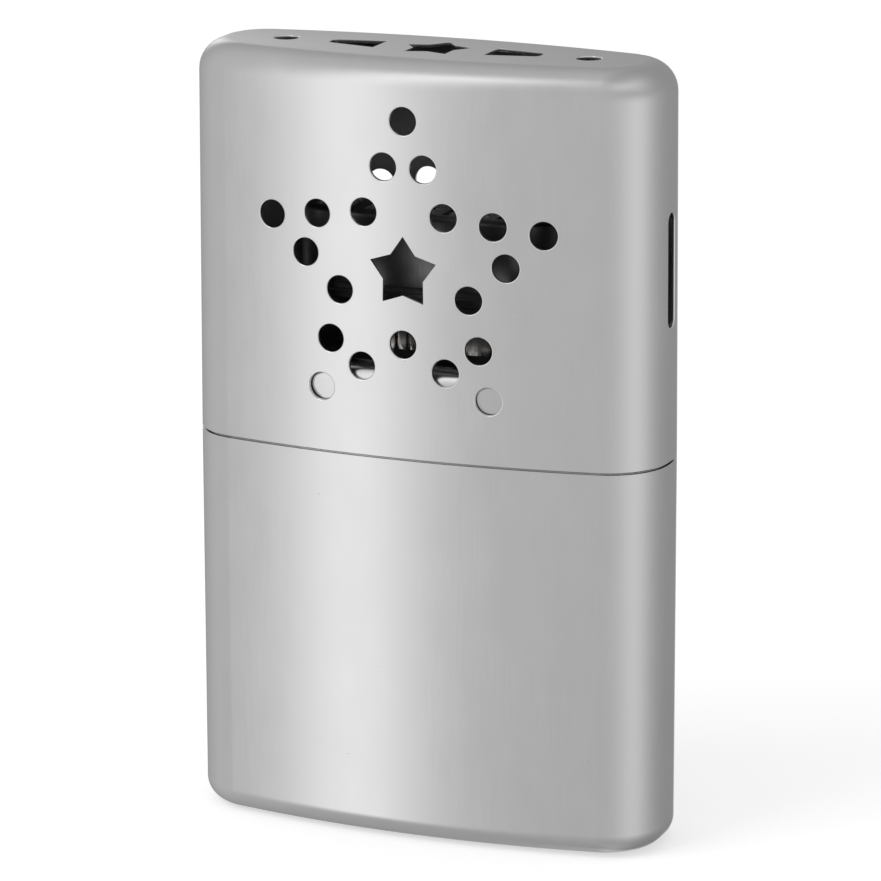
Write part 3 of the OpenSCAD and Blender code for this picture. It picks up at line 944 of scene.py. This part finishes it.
# %% Tray with its ears
TRAY_BEND = 0.55 * MM
TRAY_STRAIGHT = 2 * (TRAY_X - TRAY_Y)
EAR_HALF = 1.1 * MM
RIVET_Z = EAR_TOP - EAR_HALF
RIVET_TURNS = [(1, -pi / 4), (1, pi / 4), (-1, pi - pi / 4), (-1, pi + pi / 4)]
blank_top = EAR_TOP + 0.2 * MM
tray = start_point("tray", TRAY_X, 0, blank_top, sleeve_nickel)
pull(z=TRAY_Z + TRAY_BEND - blank_top)
turn(TRAY_X - TRAY_BEND, 0, TRAY_Z + TRAY_BEND, radians(90), 5, axis=(0, 1, 0))
round_oval(TRAY_STRAIGHT)
close_at(tray, TRAY_Z)
leave(tray)
thicken(tray, SLEEVE_WALL)
mouth = oval_block("mouth", SLEEVE_X - SLEEVE_WALL / 2, SLEEVE_Y - SLEEVE_WALL / 2,
                   TRAY_Z - MM, TRAY_Z + MM)
cut(tray, mouth)
foot = TRAY_TOP - RIVET_Z
root = [(1.9 * MM, foot - MM), (1.9 * MM, foot), (1.45 * MM, foot + 0.08 * MM),
        (1.2 * MM, foot + 0.25 * MM)]
right = root + [(EAR_HALF * cos(a), EAR_HALF * sin(a)) for a in [pi * i / 16 for i in range(9)]]
ear = right + [(-x, z) for x, z in right[-2::-1]]
ears = []
for end, angle in RIVET_TURNS:
    place = (end * TRAY_STRAIGHT / 2 + TRAY_Y * cos(angle), TRAY_Y * sin(angle), RIVET_Z)
    ears.append(prism(ear, 3 * MM, place, (pi / 2, 0, angle + pi / 2)))
waste = oval_block("waste", TRAY_X + MM, TRAY_Y + MM, TRAY_TOP, EAR_TOP + MM)
cut(waste, join("ears", ears))
cut(tray, waste)
cut(sleeve, tray, "UNION")
soften(sleeve, 0.05 * MM)
stand_in(sleeve, "burner_sleeve", "burner")

# %% [markdown]
# ## The cage
#
# The cage is a deep drawn lid over the catalyst. Nine windows are stamped in its top, which
# leave eight bars, and a long air slot runs along its foot on both sides. It is a lid like the
# cap, so it is made like the cap.

# %% Cage
CAGE_WALL = 0.35 * MM
CAGE_BEND = 0.8 * MM
cage = start_point("cage", CAGE_X, 0, CAGE_Z, cage_nickel)
pull(z=CAGE_TOP - CAGE_BEND - CAGE_Z)
turn(CAGE_X - CAGE_BEND, 0, CAGE_TOP - CAGE_BEND, radians(90), 6, axis=(0, -1, 0))
round_oval(2 * (CAGE_X - CAGE_Y))
close_at(cage, CAGE_TOP)
leave(cage)
thicken(cage, CAGE_WALL)
BAR_W = 1.4 * MM
WINDOWS = 9
bay = 2 * (CAGE_X - BAR_W) / WINDOWS
window = (bay - BAR_W, 3 * CAGE_Y, 1.5 * MM)
windows = [blade(window, ((i - WINDOWS // 2) * bay, 0, CAGE_TOP)) for i in range(WINDOWS)]
field = oval_block("field", CAGE_X - BAR_W, CAGE_Y - BAR_W, CAGE_TOP - MM, CAGE_TOP + MM)
cut(cage, cut(join("windows", windows), field, "INTERSECT"))
AIR_SLOT_H, AIR_SLOT_L = MM, 24 * MM
air_slot = [(x, z) for z, x in slot_outline(AIR_SLOT_H, AIR_SLOT_L, steps=8)]
cut(cage, prism(air_slot, THROUGH, (0, 0, TRAY_TOP + 0.1 * MM + AIR_SLOT_H / 2), TO_FRONT))
soften(cage, 0.05 * MM)
stand_in(cage, "burner_cage", "burner")

# %% [markdown]
# ## The catalyst mat
#
# The catalyst is a needled mat of glass fibre that fills the cage, dark with metal salts and
# crowned in the middle where the cage presses on its edges. It is cut as an oval, intersected
# with a large roll to get the crown, and given a fibrous skin in the same way as the cotton,
# only much finer.

# %% Catalyst mat
MAT_X, MAT_Y, MAT_Z, MAT_TOP = reach("catalyst_mat")
mat = oval_block("mat", MAT_X, MAT_Y, MAT_Z, MAT_TOP, catalyst_fibre)
MAT_CROWN_R = 4 * MAT_Y
crown = rod(MAT_CROWN_R, 3 * MAT_X, (0, 0, MAT_TOP - MAT_CROWN_R), (0, pi / 2, 0), sides=256)
cut(mat, crown, "INTERSECT")
fluff(mat, 0.24 * MM, 0.1 * MM, (1.6 * MM, 0.16 * MM), (0.4 * MM, 0.08 * MM))
stand_in(mat, "catalyst_mat", "burner")

# %% [markdown]
# ## Gauzes
#
# Two pieces of woven wire hold the mat from below and above. One wire is modelled with its
# weave, and copied over and under its neighbours. A copy that is moved along by one mesh is out
# of step with the first, which is exactly what weaving needs. Each wire is trimmed to the oval
# and held in a flat rim.

# %% One woven wire
WIRE_R = 0.075 * MM
MESH = MM
RIM_W = 0.4 * MM


def wire(half_length):
    """A woven wire along X, up at the even meshes and down at the odd ones."""
    meshes = int(half_length / MESH) + 2
    bpy.ops.object.select_all(action="DESELECT")
    bpy.ops.mesh.primitive_circle_add(vertices=6, radius=WIRE_R, location=(-meshes * MESH, 0, 0),
                                      rotation=(0, pi / 2, 0))
    strand = bpy.context.object
    bpy.ops.object.transform_apply()
    bpy.ops.object.mode_set(mode="EDIT")
    bpy.ops.mesh.select_all(action="SELECT")
    heights = [WIRE_R * cos(pi * i / 2) for i in range(-2 * meshes, 2 * meshes + 1)]
    bpy.ops.transform.translate(value=(0, 0, heights[0]))
    for before, after in zip(heights, heights[1:]):
        pull(x=MESH / 2, z=after - before)
    bpy.ops.object.mode_set(mode="OBJECT")
    return strand


def trimmed(strand, step, end):
    """A copy of a wire, moved along by step and cut off at both ends."""
    piece = copy_of(strand, (step, 0, 0))
    only(piece)
    bpy.ops.object.transform_apply()
    bpy.ops.object.mode_set(mode="EDIT")
    for side in (1, -1):
        trim((side * end, 0, 0), (side, 0, 0))
    return leave(piece)


# %% Weave both gauzes
def woven(name, node):
    """A gauze in the place of this node, with its rim."""
    half_x, half_y, low, high = reach(node)
    straight = half_x - half_y
    inner = half_y - RIM_W / 2
    parts = [oval_ring(name, half_x, low, [(0, high - low), (-RIM_W, 0), (0, low - high)],
                       2 * straight, gauze_steel)]
    for across in (0, 1):
        strand = wire(half_y if across else half_x)
        count = int(((half_x if across else half_y) - RIM_W) / MESH)
        for i in range(-count, count + 1):
            off = i * MESH
            if across:
                end = sqrt(inner**2 - max(0, abs(off) - straight)**2)
            else:
                end = straight + sqrt(inner**2 - off**2)
            piece = trimmed(strand, MESH * ((i + across) % 2), end)
            piece.rotation_euler.z = across * pi / 2
            piece.location = (off * across, off * (1 - across), (low + high) / 2)
            parts.append(piece)
        bpy.data.objects.remove(strand)
    gauze = join(name, parts)
    bpy.ops.object.shade_smooth_by_angle(angle=radians(50))
    stand_in(gauze, node, "burner")


woven("gauze_under", "lower_gauze")
woven("gauze_over", "upper_gauze")

# %% [markdown]
# ## Rivets
#
# Four rivets hold the cage in the tray, one through each ear. A rivet is round about its own
# axis, so half of its outline is pulled out once and spun all the way round. It is modelled
# beside the middle of a rounded end, and its copies are turned about that middle to point at
# the ears.

# %% Rivets
HEAD = 0.25 * MM
DOME = [(0.3, 0.02), (0.22, 0.06), (0.13, 0.08), (0.05, 0.09)]
SHANK = [(-0.2, 0), (0, 0.8), (-0.5, 0)]
rivet = start_point("rivet", TRAY_Y + HEAD, 0, RIVET_Z, rivet_steel)
for out, back in DOME + SHANK:
    pull(x=-back * MM, z=out * MM)
bpy.ops.mesh.select_all(action="SELECT")
turn(0, 0, RIVET_Z, 2 * pi, 24, axis=(1, 0, 0))
leave(rivet)
rivets = [copy_of(rivet, (end * TRAY_STRAIGHT / 2, 0, 0), angle) for end, angle in RIVET_TURNS]
bpy.data.objects.remove(rivet)
rivets = join("rivets", rivets)
bpy.ops.object.shade_smooth_by_angle(angle=SHARP)
stand_in(rivets, "cage_rivets", "burner")

# %% [markdown]
# ## The studio
#
# Plated metal shows whatever is round it, so the studio is as much a part of its look as the
# plating. A soft strip light stands front left and a broad pale panel on the right. The rounded
# crown, which looks up, sees a fainter panel and a soft box above them, and flat tops see a
# light low behind the left. The rest of the room is a middle grey, paler to the front, that
# darkens towards the floor. It is a gradient in the world that only reflections see. The camera
# sees plain white, and matt surfaces get an even light.

# %% World
world = bpy.data.worlds.new("studio")
bpy.context.scene.world = world
studio = Graph(world)
studio.tree.nodes.clear()
looking = studio.node("TexCoord", out="Generated")
east, north, up = [studio.node("SeparateXYZ", {}, {"Vector": looking}, out=axis) for axis in "XYZ"]


def glow(azimuth, width):
    """A soft upright band of light. Azimuth is in degrees from the front towards the right."""
    angle = radians(azimuth)
    across = (east * cos(angle) + north * sin(angle)) / width
    ahead = ((east * sin(angle) - north * cos(angle)) * 8).held()
    return (0 - across * across).exp() * ahead


def above(level, softness):
    """0 below a level of the sky and 1 above it. The level is the sine of a height angle."""
    return ((up - level) * softness).held()


def below(level, softness):
    """1 below a level of the sky and 0 above it."""
    return ((level - up) * softness).held()


# Each light: its place and width, where it begins and ends in height, and its strength.
strip = glow(-29.5, 0.125) * below(0.97, 6) * above(-0.62, 5) * 0.74
panel = glow(72, 0.55) * below(0.3, 2.4) * 0.32
high_panel = glow(88, 0.4) * above(0.25, 3) * below(0.95, 6) * 0.13
softbox = glow(50, 0.45) * above(0.5, 5) * below(0.97, 6) * 0.17
behind = glow(-145, 0.15) * above(0, 10) * below(0.5, 6) * 0.68
left_wall = glow(-88, 0.72) * 0.105
back_strip = glow(-166, 0.13) * below(-0.03, 20) * 0.4
room = 0.405 - north * 0.095
towards_floor = 1 - ((-0.2 - up) / 0.65).held() * (east * 0.3 + 0.36)
reflected = ((room + panel + left_wall + back_strip) * towards_floor
             + strip + softbox + high_panel + behind)

# %% What each kind of ray sees
camera_ray, transmission_ray, glossy_ray = [
    studio.node("LightPath", out=f"Is {ray} Ray") for ray in ("Camera", "Transmission", "Glossy")]
MATT_LIGHT = 0.62
matt_or_metal = MATT_LIGHT + (reflected - MATT_LIGHT) * glossy_ray
seen = (camera_ray + transmission_ray).held()
brightness = matt_or_metal + (1 - matt_or_metal) * seen
light = studio.node("Background", {}, {"Color": studio.grey(brightness), "Strength": 1.0})
studio.node("OutputWorld", {}, {"Surface": light})
world.cycles.sampling_method = "NONE"
print("studio nodes:", len(studio.tree.nodes))

# %% Floor
FLOOR_SIZE, FLOOR_GAP = 12, 0.2 * MM
FLOOR_GLOW = 0.42  # lifts the paper to the white of the background for the camera alone
bpy.ops.object.select_all(action="DESELECT")
bpy.ops.mesh.primitive_plane_add(size=FLOOR_SIZE, location=(0, 0, -FLOOR_GAP))
floor = bpy.context.object
floor.name = "floor"
bpy.ops.object.transform_apply()
paper = Finish("white paper")
toned = paper.blend(paper.cloud(0.8 * MM, detail=3), (0.86, 0.86, 0.86), (0.9, 0.9, 0.9))
seen_directly = paper.node("LightPath", out="Is Camera Ray")
paper.surface(Base_Color=toned, Roughness=0.95, Specular_IOR_Level=0.0,
              Emission_Color=paper.grey(seen_directly), Emission_Strength=FLOOR_GLOW)
paper.material.cycles.emission_sampling = "NONE"
floor.data.materials.append(paper.material)
floor.visible_glossy = False
print("floor placed", round(FLOOR_GAP / MM, 1), "mm below the tank")

# %% Key light, for the soft shadow on the floor
KEY_PLACE, KEY_TARGET = Vector((-0.45, -0.55, 0.75)), Vector((0, 0, 0.05))
bpy.ops.object.light_add(type="AREA", location=KEY_PLACE)
key = bpy.context.object
key.name = "key_light"
key.data.size = 0.6
key.data.energy = 2.2
key.rotation_euler = (KEY_TARGET - KEY_PLACE).to_track_quat("-Z", "Y").to_euler()
key.visible_glossy = False
print("key light", round((KEY_TARGET - KEY_PLACE).length, 2), "m from the tank")

# %% [markdown]
# ## The camera
#
# The photograph was taken with a long lens from the front right and a little above, leaning by
# a small fraction of a degree. Yaw, pitch, roll and distance were worked out from the case's
# own outline, seam and holes.

# %% Camera
AIM = Vector((0.52 * MM, 0, 52.36 * MM))
YAW, PITCH, ROLL, DISTANCE = radians(22.31), radians(14.59), radians(-0.15), 659.3 * MM
outwards = Vector((sin(YAW) * cos(PITCH), -cos(YAW) * cos(PITCH), sin(PITCH)))
bpy.ops.object.camera_add(location=AIM + outwards * DISTANCE)
camera = bpy.context.object
camera.name = "camera"
camera.rotation_euler = (pi / 2 - PITCH, 0, YAW)
camera.rotation_euler.rotate_axis("Z", ROLL)
camera.data.lens = 202.74
camera.data.sensor_width = 36
camera.data.clip_end = 50
bpy.context.scene.camera = camera
bpy.context.scene.view_settings.view_transform = "Standard"
print("camera at", [round(v, 4) for v in camera.location])
